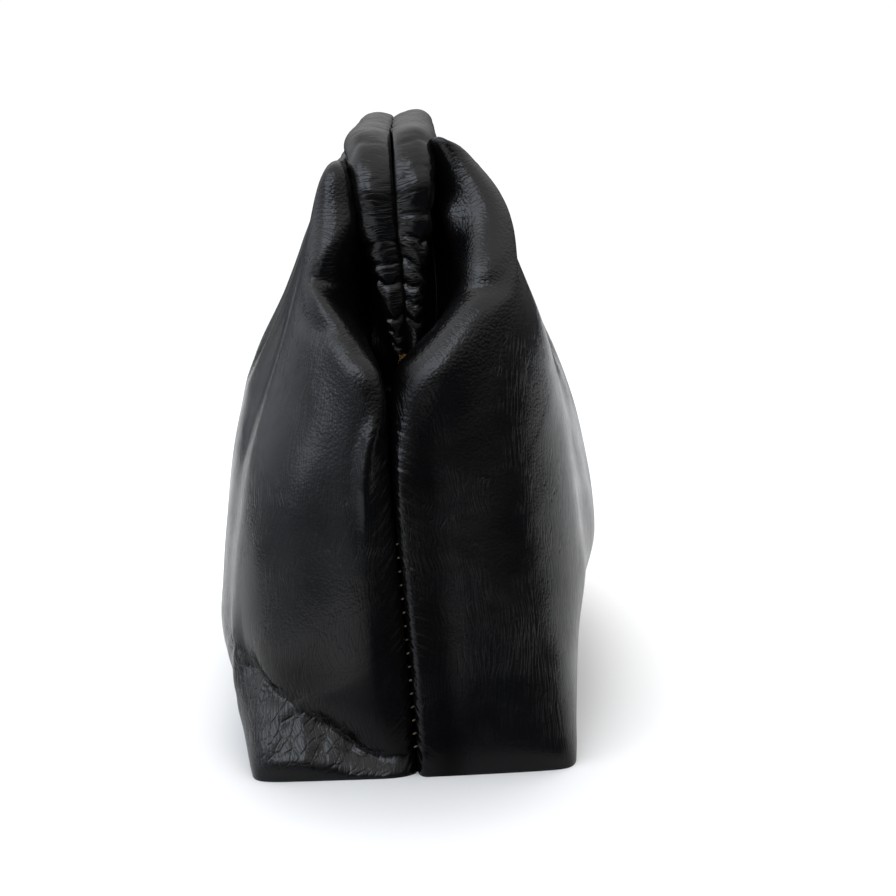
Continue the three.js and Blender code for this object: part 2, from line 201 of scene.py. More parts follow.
BACK = Panel(
    name="back",
    side=1,
    tilt=math.radians(-2.0),
    seam_roll=3.6,
    sections=Table(
        SECTION_COLUMNS,
        (0, 162, 160, 53, 57.5, 20),
        (9, 163, 161, 55, 59, 13),
        (36, 161, 157, 66, 58.5, 7),
        (60, 158, 153, 74.5, 58, 5.5),
        (100, 152, 147, 69.5, 58, 5),
        (130, 148, 142, 60, 57.5, 5.5),
        (155, 144, 138, 45, 57.5, 6),
        (180, 140, 133, 29, 50, 6),
        (199, 136, 128, 22, 40.5, 7),
        (216, 132, 122, 20, 24, 8),
    ),
    ridge=Table(
        RIDGE_COLUMNS,
        (0.0, 0, 16.5, 209.5, 2.5, 0.3),
        (0.3, 62, 16.5, 209.5, 2.5, 0.3),
        (0.5, 97, 17, 212, 3.5, 2),
        (0.62, 113, 16, 217, 4.5, 1.5),
        (0.67, 115.5, 18, 208.5, 10.5, 5),
        (0.73, 122, 25.5, 191, 12.5, 24),
        (0.79, 131, 22, 169, 12, 34),
        (0.84, 136, 16.5, 156, 10, 32),
        (0.9, 140.5, 7.5, 145.5, 9, 28),
        (0.95, 143.5, 2.6, 139, 6.5, 20),
        (1.0, 145, 0, 123, 2, 8),
    ),
    creases=Table(
        CREASE_COLUMNS,
        (1, 0.79, 168, 0.87, 157, 3.5, 4, 5, 0.2),
    ),
    swells=Table(
        SWELL_COLUMNS,
        (1, 0.94, 60, 0.035, 60, -1.4),
        (1, 0.83, 80, 0.05, 55, 0.8),
        (1, 0.4, 95, 0.09, 60, -2.5),
        (-1, 0.7, 42, 0.09, 26, -2),
        (-1, 0.4, 85, 0.09, 50, -3),
    ),
    tucks=Table(
        TUCK_COLUMNS,
        (1, 33, 193, 17, 217, 18, 160, 1.2, 1.0, 18, 4.0),
        (-1, 33, 174, 16, 190, 16, 151, 1.0, 2.0, 16, 2.0),
    ),
)


def smooth(low, high, value):
    t = np.clip((value - low) / (high - low), 0.0, 1.0)
    return t * t * (3 - 2 * t)


def mix(a, b, weight):
    return a + (b - a) * weight


def unit(vectors):
    length = np.linalg.norm(vectors, axis=-1, keepdims=True)
    return vectors / np.maximum(length, 1e-9)


def dot(a, b):
    return np.sum(a * b, axis=-1, keepdims=True)


def hermite(start, leave, stop, arrive, w):
    return (
        start * (2 * w ** 3 - 3 * w ** 2 + 1)
        + leave * (w ** 3 - 2 * w ** 2 + w)
        + stop * (3 * w ** 2 - 2 * w ** 3)
        + arrive * (w ** 3 - w ** 2)
    )


def perlin(points, size, seed):
    """Smooth noise of the given feature size at each point, about -1 to 1."""
    shift = Vector((seed * 17.3, seed * 5.1, seed * 9.7))
    flat = points.reshape(-1, 3) / size
    values = np.fromiter((noise.noise(Vector(p) + shift) for p in flat), float, len(flat))
    return values.reshape(points.shape[:-1])


# Plan of the panels


def seam_lean(end, height):
    lean = np.where(end > 0, SEAM_LEAN[1], SEAM_LEAN[-1])
    return lean * smooth(0, SEAM_TOP, height)


def rounded_square(share, squareness):
    along = np.minimum(share / CORNER_SHARE, 1)
    inward = np.minimum((1 - share) / (1 - CORNER_SHARE), 1)
    reach = (along ** squareness + inward ** squareness) ** (1 / squareness)
    return along / reach, inward / reach


def outline_point(panel, end, share, height):
    """Outside of the leather on a panel's plan at each height."""
    section = panel.sections.at(height)
    along, inward = rounded_square(share, section["squareness"])
    reach_x = mix(section["seam_x"], section["corner_x"], inward ** 2)
    reach_y = mix(section["middle_y"], section["corner_y"], along ** 2)
    reach_y = reach_y * (1 - FAR_NARROW * (end < 0) * smooth(100, 150, height) * along ** 2)
    y = panel.side * (inward * reach_y + SEAM_GAP / 2) + seam_lean(end, height) * (1 - inward)
    return np.stack([end * along * reach_x, y, height + 0 * along], -1)


def base_point(panel, end, share, reach):
    """Outside of the flat base, from the bottom seam out to the base edge."""
    edge = outline_point(panel, end, share, 0 * share)
    x = mix(end * BASE_SPINE * share, edge[..., 0], reach)
    distance = np.abs(edge[..., 1]) * reach
    y = panel.side * np.maximum(distance, SEAM_GAP / 2)
    return np.stack([x, y, BASE_SEAM_TURN * (1 - smooth(0, 4.5, distance))], -1)


def crest_point(panel, end, share):
    """Top of the roll along a panel's upper edge."""
    fold = panel.ridge.at(share)
    lean = seam_lean(end, fold["z"]) * smooth(CORNER_SHARE, 1, share)
    drop = FAR_DROP * (end < 0) * smooth(0.35, 0.58, share) * (1 - smooth(0.7, 0.9, share))
    return np.stack([end * fold["x"], panel.side * (fold["y"] + SEAM_GAP / 2) + lean, fold["z"] - drop], -1)


def roll_frame(panel, end, share):
    """Directions across the roll at each column: outwards, and over the top."""
    step = 0.004
    along = unit(crest_point(panel, end, share + step) - crest_point(panel, end, share - step))
    height = 0.9 * panel.ridge.at(share)["z"]
    ahead = outline_point(panel, end, np.minimum(share + step, 1), height)
    behind = outline_point(panel, end, np.maximum(share - step, 0), height)
    flat = np.cross(ahead - behind, np.array([0.0, 0.0, 1.0])) * (-panel.side * end)[..., None]
    out = unit(flat - dot(flat, along) * along)
    over = np.cross(along, out) * (panel.side * end)[..., None]
    seam = smooth(0.9, 1, share)[..., None]
    outward = end[..., None] * np.array([1.0, 0.0, 0.0])
    upward = np.array([0.0, 0.0, 1.0])
    return unit(mix(out, outward, seam)), unit(mix(over, upward, seam))


# Frame and sleeves


def arch_point(distance):
    """Centre line of a frame half: x, rise above the hinge, and the direction into the arch."""
    turn = np.clip((distance - TOP_LENGTH) / ARCH_CORNER, 0, math.pi / 2)
    drop = np.maximum(distance - TOP_LENGTH - CORNER_LENGTH, 0)
    x = np.minimum(distance, TOP_LENGTH) + ARCH_CORNER * np.sin(turn)
    rise = ARCH_RISE - ARCH_CORNER * (1 - np.cos(turn)) - drop
    return x, rise, -np.sin(turn), -np.cos(turn)


def sleeve_radius(rise):
    share = smooth(0, 1, (rise - SLEEVE_START) / (ARCH_RISE - SLEEVE_START))
    return mix(SLEEVE_RADIUS_LOW, SLEEVE_RADIUS_TOP, share)


def from_hinge(panel, x, out, rise):
    y = panel.side * (ROD_OFFSET + out)
    cos, sin = math.cos(panel.tilt), math.sin(panel.tilt)
    return np.stack([x, HINGE_Y + y * cos - rise * sin, HINGE_Z + y * sin + rise * cos], -1)


def sleeve_edge_point(panel, end, share):
    """Where a panel's upper edge meets the sleeve."""
    top = np.minimum(share / SHOULDER_SHARE, 1) * (TOP_LENGTH + CORNER_LENGTH / 2)
    past = np.maximum((share - SHOULDER_SHARE) / (1 - SHOULDER_SHARE), 0)
    x, rise, in_x, in_rise = arch_point(top + past * (ARM_LENGTH + CORNER_LENGTH / 2))
    reach = sleeve_radius(rise) * SLEEVE_SWELL + SLEEVE_CLEARANCE
    angle = mix(ATTACH_TOP, ATTACH_ARM, smooth(SHOULDER_SHARE, CORNER_SHARE, share))
    inward = reach * np.sin(angle)
    out = reach * np.cos(angle)
    return from_hinge(panel, end * (x + in_x * inward), out, rise + in_rise * inward)


# Panel surface

AROUND_LINES = 280
BASE_LINES = 8
WALL_LINES = 58
RISE_LINES = 44
ROLL_LINES = 14
POCKET_LINES = 32


def panel_surface(panel, around):
    """Outside of a panel: a column of points for each place around, from the base seam to the sleeve."""
    end = np.where(around < 0, -1.0, 1.0)[:, None]
    share = np.abs(around)[:, None]
    fold = panel.ridge.at(share)
    out, over = roll_frame(panel, end, share)
    radius = fold["roll"][..., None]
    middle = crest_point(panel, end, share) - over * radius
    wall_top = middle + out * radius
    steps = np.linspace(0, 1, BASE_LINES, endpoint=False)[None]
    base = base_point(panel, end + 0 * steps, share + 0 * steps, steps)
    steps = np.linspace(0, WALL_SHARE, WALL_LINES, endpoint=False)[None] ** 1.08
    wall = outline_point(panel, end + 0 * steps, share + 0 * steps, steps * wall_top[..., 2])
    rise = rise_points(panel, end, share, wall_top)
    turn = np.linspace(0, ROLL_TURN, ROLL_LINES, endpoint=False)[None, :, None]
    roll = middle + radius * (out * np.cos(turn) + over * np.sin(turn))
    start = middle + radius * (out * math.cos(ROLL_TURN) + over * math.sin(ROLL_TURN))
    leave = over * math.cos(ROLL_TURN) - out * math.sin(ROLL_TURN)
    pocket = pocket_points(panel, end, share, start, leave, fold["pocket"])
    return np.concatenate([base, wall, rise, roll, pocket], axis=1)


def rise_points(panel, end, share, wall_top):
    """Upper wall, which leaves the plan and draws in to the roll."""
    steps = np.linspace(WALL_SHARE ** 1.08, 1, RISE_LINES, endpoint=False)[None]
    points = outline_point(panel, end + 0 * steps, share + 0 * steps, steps * wall_top[..., 2])
    miss = wall_top - outline_point(panel, end, share, wall_top[..., 2])
    return points + miss * smooth(RISE_BLEND, 1, steps)[..., None]


def pocket_points(panel, end, share, start, leave, depth):
    """From the roll down into the pocket beside the sleeve, and up to the sleeve's edge."""
    edge = sleeve_edge_point(panel, end, share)
    throat = np.stack([end * THROAT_X, panel.side * 0.3 + 0 * share, THROAT_Z + 0 * share], -1)
    edge = mix(edge, throat, smooth(0.93, 1, share)[..., None])
    low = mix(start, edge, POCKET_SHARE)
    low[..., 1] = panel.side * np.maximum(panel.side * low[..., 1], panel.side * edge[..., 1])
    closed = panel.side * 0.3 + 0.35 * seam_lean(end, SEAM_TOP)
    low[..., 1] = mix(low[..., 1], closed, smooth(0.86, 0.97, share))
    behind = 0.55 * smooth(SHOULDER_SHARE, CORNER_SHARE, share)
    low[..., 0] += (edge - start)[..., 0] * behind
    low[..., 2] -= depth
    steps = np.linspace(0, 1, POCKET_LINES + 1)[None, :, None]
    first = np.clip(steps / POCKET_SHARE, 0, 1)
    second = np.clip((steps - POCKET_SHARE) / (1 - POCKET_SHARE), 0, 1)
    across = (edge - start) * np.array([1, 1, 0.2]) * 0.6
    fall = np.linalg.norm(low - start, axis=-1, keepdims=True)
    down = hermite(start, leave * fall * 1.1, low, across, first)
    rise = hermite(low, across * 0.7, edge, (edge - low) * 0.8, second)
    return np.where(steps > POCKET_SHARE, rise, down)


# Rows of a panel's grid where each band ends
BAND_LINES = (BASE_LINES, WALL_LINES, RISE_LINES, ROLL_LINES, POCKET_LINES)
BASE_END, WALL_END, RISE_END, ROLL_END, POCKET_END = np.cumsum(BAND_LINES)

FAR_SEAM_ROLL = 5.0
CREASE_CURVE = 1.6
CRAZE_REACH = 4.0


def seam_relief(panel, around):
    """How far the leather turns in towards the end seam."""
    distance = (1 - np.abs(around)) * SEAM_SCALE
    width = np.where(around > 0, panel.seam_roll, FAR_SEAM_ROLL)
    return SEAM_DEPTH * (1 - np.sqrt(1 - np.clip(1 - distance / width, 0, 1) ** 2))


def crease_relief(panel, around, height):
    """Rise and fall of the pressed-in creases, and how near each point lies to one."""
    depth = np.zeros_like(height)
    near = np.zeros_like(height)
    for row in panel.creases.named():
        start = np.array([row["share_a"] * SHARE_LENGTH, row["height_a"]])
        stop = np.array([row["share_b"] * SHARE_LENGTH, row["height_b"]])
        place = np.stack([np.abs(around) * SHARE_LENGTH, height], -1)
        line = stop - start
        t = np.clip(((place - start) @ line) / (line @ line), 0, 1)
        away = place - (start + t[..., None] * line)
        distance = np.linalg.norm(away, axis=-1)
        below = (line[0] * away[..., 1] - line[1] * away[..., 0]) < 0
        above_part = np.exp(-distance / row["above"])
        below_part = np.clip(1 - distance / row["below"], 0, 1)
        dip = np.where(below, below_part ** CREASE_CURVE, above_part)
        on = (np.sign(around) == row["end"]).astype(float)
        depth = np.minimum(depth, -row["depth"] * on * dip)
        crazed = np.where(below, below_part ** 0.5, np.exp(-((distance / CRAZE_REACH) ** 2)))
        near = np.maximum(near, on * row["crazed"] * crazed)
    return depth, near


def swell_relief(panel, around, height):
    """Soft swells and hollows of the walls."""
    rise = np.zeros_like(height)
    for row in panel.swells.named():
        across = (around * row["end"] - row["share"]) / row["share_reach"]
        up = (height - row["height"]) / row["height_reach"]
        rise = rise + row["rise"] * np.exp(-across ** 2 - up ** 2)
    return rise


# Crumpled leather of the creases, and the bunch of leather in the near pocket
CRUMPLE_SIZE = 11.0
CRUMPLE_RISE = 2.2
CRUMPLE_MEAN = 0.25
LUMP_PLACE = np.array([108.0, 17.5, 187.5])
LUMP_WAY = np.array([0.75, -0.5, 0.4])
LUMP_REACH = 8.0
LUMP_RISE = 6.0


def lump_share(panel, points):
    """Where the leather is bunched up inside the back panel's near pocket, 0 to 1."""
    away = np.linalg.norm(points - LUMP_PLACE, axis=-1)
    return (panel.side > 0) * np.exp(-((away / LUMP_REACH) ** 2))


def tuck_relief(panel, around, points):
    """How far the folded-in tucks below the shoulders are pressed along the bag, and their edges."""
    y = panel.side * points[..., 1]
    z = points[..., 2]
    press = np.zeros_like(y)
    for row in panel.tucks.named():
        apex = np.array([row["apex_y"], row["apex_z"]])
        upper = unit(np.array([row["upper_y"], row["upper_z"]]) - apex)
        lower = unit(np.array([row["lower_y"], row["lower_z"]]) - apex)
        away = np.stack([y, z], -1) - apex
        under = away[..., 1] * upper[0] - away[..., 0] * upper[1]
        above = away[..., 0] * lower[1] - away[..., 1] * lower[0]
        slope = soft_least(row["upper_slope"] * under, row["lower_slope"] * above, 1 + 1.5 * row["edge"])
        slope = soft_least(slope, 0 * slope + row["depth"], 3.0)
        slope = -soft_least(-slope, 0 * slope, row["edge"])
        press = np.maximum(press, slope * smooth(0.42, 0.58, around * row["end"]))
    return press


def soft_least(a, b, reach):
    """The lesser of two values, rounded where they are close."""
    near = np.clip(1 - np.abs(a - b) / (2 * reach), 0, 1)
    return np.minimum(a, b) - reach * near ** 2 / 2


def gather_relief(panel, around, points, bag):
    """Soft pleats that fall from the sleeve and fade down the long sides."""
    share = np.abs(around)
    below = panel.ridge.at(share)["z"] - points[..., 2]
    on_side = 1 - smooth(0.28, 0.52, share)
    wander = perlin(points * np.array([1, 0, 0.35]), 40, 3 + panel.side) * 1.6
    phase = 2 * math.pi * points[..., 0] * MM / bag.gather_pitch + wander + panel.side
    uneven = 0.85 + 0.9 * perlin(points * np.array([1, 0, 0.2]), 33, 9 + panel.side)
    coarse = np.cos(phase) * (1 - smooth(20, 105, below)) * smooth(-2, 16, below)
    fine = np.cos(2.37 * phase + 2 * wander) * (1 - smooth(8, 50, below)) * 0.6
    return bag.gather_depth / MM * on_side * uneven * (coarse + fine)


# Panel meshes


def spread(count, crowds):
    """Lines from -1 to 1, crowded towards the places in the table of (place, reach, gain)."""
    fine = np.linspace(-1, 1, 8001)
    density = 1 + sum(gain * np.exp(-(((fine - at) / reach) ** 2)) for at, reach, gain in crowds)
    total = np.concatenate([[0], np.cumsum((density[1:] + density[:-1]) / 2)])
    return np.interp(np.linspace(0, 1, count + 1), total / total[-1], fine)


def grid_normals(points):
    across = np.gradient(points, axis=0)
    along = np.gradient(points, axis=1)
    return unit(np.cross(across, along))


def relax(points, times, first, last):
    """Evens out the rows of a grid between two rows, with its borders held."""
    for _ in range(times):
        inner = points[1:-1, 1:-1]
        mean = (points[:-2, 1:-1] + points[2:, 1:-1] + points[1:-1, :-2] + points[1:-1, 2:]) / 4
        weight = np.zeros(points.shape[1])
        weight[first:last] = 0.5
        points = points.copy()
        points[1:-1, 1:-1] = mix(inner, mean, weight[None, 1:-1, None])
    return points


AROUND_CROWDS = ((0.85, 0.2, 2.2), (1.0, 0.04, 3), (-1.0, 0.04, 3), (-0.8, 0.15, 0.6))
SHADE_DEPTH = 0.75


def panel_grid(panel, bag):
    """Points of a panel with its folds, and the marks that its leather reads."""
    around = spread(AROUND_LINES, AROUND_CROWDS)
    points = panel_surface(panel, around)
    points = relax(points, 3, WALL_END, ROLL_END + 20)
    points = relax(points, 30, WALL_END + 6, RISE_END - 2)
    points = relax(points, 8, RISE_END - 12, ROLL_END + 4)
    around = around[:, None] + np.zeros(points.shape[:2])
    normals = grid_normals(points) * -panel.side
    row = np.arange(points.shape[1])[None] + 0 * around
    off_base = smooth(BASE_END, BASE_END + 8, row)
    on_wall = off_base * (1 - smooth(RISE_END + 5, ROLL_END + 5, row))
    off_edge = 1 - smooth(ROLL_END, POCKET_END, row)
    seam_hold = 1 - smooth(0.93, 0.99, np.abs(around))
    depth, near = crease_relief(panel, around, points[..., 2])
    slump = perlin(points, 70, 11 + panel.side) * 1.2 + perlin(points, 28, 5 + panel.side) * 0.5
    lobes = np.abs(perlin(points, CRUMPLE_SIZE, 21 + panel.side)) - CRUMPLE_MEAN
    crumple = CRUMPLE_RISE * near ** 2 * lobes
    swell = swell_relief(panel, around, points[..., 2])
    gathers = gather_relief(panel, around, points, bag)
    folded = (depth + swell + slump * seam_hold + crumple) * on_wall
    lift = folded + gathers * smooth(BASE_END, WALL_END, row) * off_edge
    points = points + normals * lift[..., None]
    turned = seam_relief(panel, around) * smooth(0, BASE_END, row) + tuck_relief(panel, around, points)
    fade = 1 - smooth(ROLL_END + 0.35 * POCKET_LINES, POCKET_END, row)
    points[..., 0] -= np.sign(around) * turned * fade
    points = relax(points, 3, RISE_END - 24, ROLL_END + 20)
    # painted shade: the pocket and seam masks below lower the leather's gloss where shade falls
    pocket = smooth(ROLL_END + 0.1 * POCKET_LINES, ROLL_END + 0.5 * POCKET_LINES, row)
    lump = lump_share(panel, points)
    points = points + lump[..., None] * LUMP_RISE * LUMP_WAY
    pocket = pocket * (1 - lump) * smooth(1, 16, panel.ridge.at(np.abs(around))["pocket"])
    from_seam = (1 - np.abs(around)) * SEAM_SCALE
    shade_way = (from_seam - SHADE_PLACE[panel.name]) / SHADE_REACH[panel.name]
    shade = SHADE_DEPTH * np.exp(-(shade_way ** 2))
    turning = smooth(RISE_END - 22, RISE_END + 2, row)
    bent = turning * (1 - smooth(ROLL_END, ROLL_END + 6, row))
    marks = {
        "crease": near,
        "inside": np.maximum(pocket, shade),
        "pucker": np.exp(-from_seam / PUCKER_REACH),
        "bent": bent,
    }
    return points, around, marks


def panel_mesh(panel, bag):
    """A panel's outside, with its UV laid along the hide."""
    points, around, marks = panel_grid(panel, bag)
    columns, rows = points.shape[0] - 1, points.shape[1] - 1
    mesh = bmesh.new()
    uv = mesh.loops.layers.uv.new("leather")
    layers = {name: mesh.verts.layers.float.new(name) for name in LEATHER_MARKS}
    bmesh.ops.create_grid(mesh, x_segments=columns, y_segments=rows, size=0.5)
    place = {}
    for vert in mesh.verts:
        c = round((vert.co.x + 0.5) * columns)
        r = round((vert.co.y + 0.5) * rows)
        place[vert] = (c, r)
        vert.co = points[c, r] * MM
        for name, layer in layers.items():
            vert[layer] = marks[name][c, r]
    along = np.cumsum(np.linalg.norm(np.diff(points, axis=1, prepend=points[:, :1]), axis=-1), axis=1)
    for face in mesh.faces:
        for loop in face.loops:
            c, r = place[loop.vert]
            loop[uv].uv = (around[c, r] * SHARE_LENGTH * MM, along[c, r] * MM)
    if panel.side > 0:
        bmesh.ops.reverse_faces(mesh, faces=mesh.faces)
    return mesh


def add_piece(name, mesh, material):
    """Makes a mesh a smooth piece that rides on the bag."""
    data = bpy.data.meshes.new(name)
    mesh.to_mesh(data)
    mesh.free()
    data.shade_smooth()
    data.materials.append(material)
    piece = bpy.data.objects.new(name, data)
    bpy.context.scene.collection.objects.link(piece)
    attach(piece, BODY)
    return piece


def add_modifier(piece, name, kind, **settings):
    modifier = piece.modifiers.new(name, kind)
    for key, value in settings.items():
        setattr(modifier, key, value)


# Sleeve meshes

SLEEVE_SIDES = 44
SLEEVE_STEPS = 560
SLEEVE_TOUCH = 0.04
SLEEVE_WALL = 1.0 * MM
SLEEVE_HEM = 4.5
FOLD_PITCH_LOW = 4.5
FOLD_PITCH_HIGH = 9.5


def sleeve_mesh(panel, bag):
    """A sleeve's outside, closed round the frame."""
    mesh = bmesh.new()
    uv = mesh.loops.layers.uv.new("leather")
    for name in LEATHER_MARKS:
        mesh.verts.layers.float.new(name)
    bmesh.ops.create_grid(mesh, x_segments=SLEEVE_STEPS, y_segments=SLEEVE_SIDES, size=0.5)
    verts = list(mesh.verts)
    lines = spread(SLEEVE_STEPS, [(1.0, 0.5, 2.0)]) * ARCH_LENGTH
    column = np.array([round((v.co.x + 0.5) * SLEEVE_STEPS) for v in verts])
    along = lines[column]
    turn = (np.array([v.co.y for v in verts]) + 0.5) * 2 * math.pi
    points = sleeve_point(panel, along, turn, bag)
    where = {}
    for i, vert in enumerate(verts):
        where[vert] = i
        vert.co = points[i] * MM
    for face in mesh.faces:
        for loop in face.loops:
            i = where[loop.vert]
            loop[uv].uv = (along[i] * MM, turn[i] * SLEEVE_RADIUS_TOP * MM)
    bmesh.ops.remove_doubles(mesh, verts=mesh.verts, dist=1e-6)
    bmesh.ops.recalc_face_normals(mesh, faces=mesh.faces)
    return mesh


def sleeve_point(panel, along, turn, bag):
    x, rise, in_x, in_rise = arch_point(np.abs(along) * (ARCH_LENGTH + SLEEVE_HEM) / ARCH_LENGTH)
    radius = sleeve_radius(rise)
    apart = sleeve_apart(rise)
    inside = np.where(np.cos(turn) < 0, 1.18 * apart / radius, 1.0)
    ruche = sleeve_relief(panel, along, turn, rise) * bag.ruche_depth
    swollen = radius * (1.04 + ruche)
    inward = swollen * np.sin(turn)
    out = swollen * np.cos(turn) * inside
    touch = SLEEVE_TOUCH - apart + panel.side * sleeve_meet(along)
    out = np.where(np.cos(turn) < -0.75, touch, np.maximum(out, touch))
    return from_hinge(panel, np.sign(along) * (x + in_x * inward), out, rise + in_rise * inward)


def sleeve_apart(rise):
    """Half the distance between the two frame halves."""
    return ROD_OFFSET + rise * (math.sin(FRONT.tilt) - math.sin(BACK.tilt)) / 2


def sleeve_meet(along):
    """How far the place where the sleeves press together wanders to one side."""
    return 0.45 * np.tanh(along / 40) + 0.35 * np.sin(along / 7.3)


def fold_count(distance):
    """Folds from the middle of the arch to each distance along it: close at the hinge, wide above."""
    fine = np.linspace(0, ARCH_LENGTH + SLEEVE_HEM, 2000)
    rise = arch_point(fine)[1]
    pitch = mix(FOLD_PITCH_LOW, FOLD_PITCH_HIGH, smooth(8, 46, rise))
    return np.interp(distance, fine, np.cumsum((fine[1] - fine[0]) / pitch))


def sleeve_relief(panel, along, turn, rise):
    """Gathers round the sleeve: rounded lobes with sharp, wandering creases between them."""
    ring = np.stack([along, 9 * np.cos(turn), 9 * np.sin(turn)], -1)
    seed = 40 + 7 * panel.side
    top = smooth(44, 58, rise)
    warp = 6 * perlin(ring, 17, seed + 3) + 1.6 * perlin(ring, 5, seed + 5)
    lobes = np.abs(np.sin(math.pi * fold_count(np.abs(along) + warp))) ** 0.7 - 0.65
    deep = smooth(-0.5, 0.2, perlin(ring, 13, seed + 4)) * mix(1.1, 0.2, top)
    swell = perlin(ring * np.array([1.0, 0.6, 0.6]), 15, seed)
    bent = ring + np.stack([warp, 0 * warp, 0 * warp], -1)
    fine = np.clip(1 - np.abs(perlin(bent * np.array([1.0, 0.4, 0.4]), 3.6, seed + 2)) * 2.8, 0, 1) ** 1.6
    held = mix(0.5, 1.0, smooth(10, 30, rise))
    return held * (1.35 * lobes * deep + 0.5 * swell - mix(0.2, 0.08, top) * fine + 0.12)


# Stitches of the end seams: heights, depth in the groove and size, in millimetres

STITCH_FIRST = 10.0
STITCH_LAST = 84.0
STITCH_DEPTH = 4.8
STITCH_TURN = math.radians(24)
STITCH_RADIUS = 0.32
STITCH_REACH = 0.9


def stitch_mesh(bag):
    """Short threads across both end seams, down in the groove between the panels."""
    mesh = bmesh.new()
    heights = np.arange(STITCH_FIRST, STITCH_LAST, bag.stitch_pitch / MM)
    size = Matrix.Diagonal((STITCH_RADIUS * MM, STITCH_REACH * MM, STITCH_RADIUS * MM, 1))
    for end in (1, -1):
        for height in heights:
            section = FRONT.sections.at(height)
            x = end * (section["seam_x"] - STITCH_DEPTH)
            place = Vector((x, float(seam_lean(end, height)), height)) * MM
            turn = Matrix.Rotation(STITCH_TURN * end, 4, "X")
            thread = Matrix.Translation(place) @ turn @ size
            bmesh.ops.create_uvsphere(mesh, u_segments=10, v_segments=8, radius=1.0, matrix=thread)
    return mesh


# Materials

SWAY_SCALE = 30.0
SWAY_REACH = 13 * MM
PATCH_SCALE = 42.0
PORE_SCALE = 940.0
PORE_DEPTH = 0.16 * MM
PORE_STRENGTH = (0.2, 0.62)
LINE_STRETCH = (860, 75, 1)
LINE_WIDTH = 0.08
LINE_DEPTH = 0.06 * MM
VEIN_SCALE = 210.0
VEIN_WIDTH = 0.14
VEIN_STRENGTH = 0.8
VEIN_DEPTH = 0.16 * MM
PUCKER_STRETCH = (70, 330, 1)
PUCKER_DEPTH = 1.2 * MM
WRINKLE_SCALE = 110.0
WRINKLE_STRENGTH = 0.3
WRINKLE_DEPTH = 0.4 * MM
CREASE_POLISH = -0.06
SKIN_GLOSS = 0.42
PAINTED_SHADE_GLOSS = 0.08
SKIN_DARK = (0.0012, 0.0012, 0.0014, 1)
SKIN_LIGHT = (0.0024, 0.0024, 0.0027, 1)
PANEL_ROUGHNESS = (0.16, 0.26)
SLEEVE_ROUGHNESS = (0.13, 0.2)
METAL_ROUGHNESS = (0.12, 0.24)
SCUFF_SCALE = 700.0
TWIST_SCALE = 900.0
THREAD_SHADE = 0.6
THREAD_ROUGHNESS = 0.45
FLOOR_WHITE = (0.86, 0.86, 0.86, 1)
FLOOR_REFLECTED_SHADE = (0.03, 0.034, 0.04, 1)
FLOOR_LEAST_DIM = 0.3
WHITE = (1, 1, 1, 1)
BACKDROP = 1.05


class Nodes:
    """Short way to add and link the nodes of one tree."""

    def __init__(self, tree):
        self.tree = tree
        tree.nodes.clear()

    def add(self, kind, inputs=None, **settings):
        node = self.tree.nodes.new(kind)
        for key, value in settings.items():
            setattr(node, key, value)
        for key, value in (inputs or {}).items():
            socket = node.inputs[key]
            if isinstance(value, bpy.types.NodeSocket):
                self.tree.links.new(value, socket)
            else:
                socket.default_value = value
        return node

    def mark(self, name):
        return self.add("ShaderNodeAttribute", attribute_name=name).outputs["Fac"]

    def noise(self, vector, scale, detail):
        inputs = {"Vector": vector, "Scale": scale, "Detail": detail}
        return self.add("ShaderNodeTexNoise", inputs).outputs

    def cells(self, vector, scale, feature="F1"):
        inputs = {"Vector": vector, "Scale": scale}
        return self.add("ShaderNodeTexVoronoi", inputs, feature=feature).outputs["Distance"]

    def stretched(self, vector, scale):
        return self.add("ShaderNodeMapping", {"Vector": vector, "Scale": scale}).outputs["Vector"]

    def vector(self, operation, inputs):
        return self.add("ShaderNodeVectorMath", inputs, operation=operation).outputs

    def math(self, operation, *values):
        return self.add("ShaderNodeMath", dict(enumerate(values)), operation=operation).outputs["Value"]

    def ramp(self, value, low, high, start=0.0, stop=1.0, kind="LINEAR"):
        """A value between low and high, mapped to start and stop."""
        inputs = {"Value": value, "From Min": low, "From Max": high, "To Min": start, "To Max": stop}
        return self.add("ShaderNodeMapRange", inputs, interpolation_type=kind).outputs["Result"]

    def bump(self, height, strength, distance, under=None, invert=False):
        """A relief on top of the one under it."""
        inputs = {"Height": height, "Strength": strength, "Distance": distance}
        if under:
            inputs["Normal"] = under
        return self.add("ShaderNodeBump", inputs, invert=invert).outputs["Normal"]

    def glow(self, color, strength):
        inputs = {"Color": color, "Strength": strength}
        return self.add("ShaderNodeBackground", inputs).outputs["Background"]

    def tint(self, share, first, second):
        inputs = {"Factor": share, "A": first, "B": second}
        return self.add("ShaderNodeMix", inputs, data_type="RGBA").outputs["Result"]


def new_material(name):
    material = bpy.data.materials.new(name)
    material.use_nodes = True
    return material, Nodes(material.node_tree)


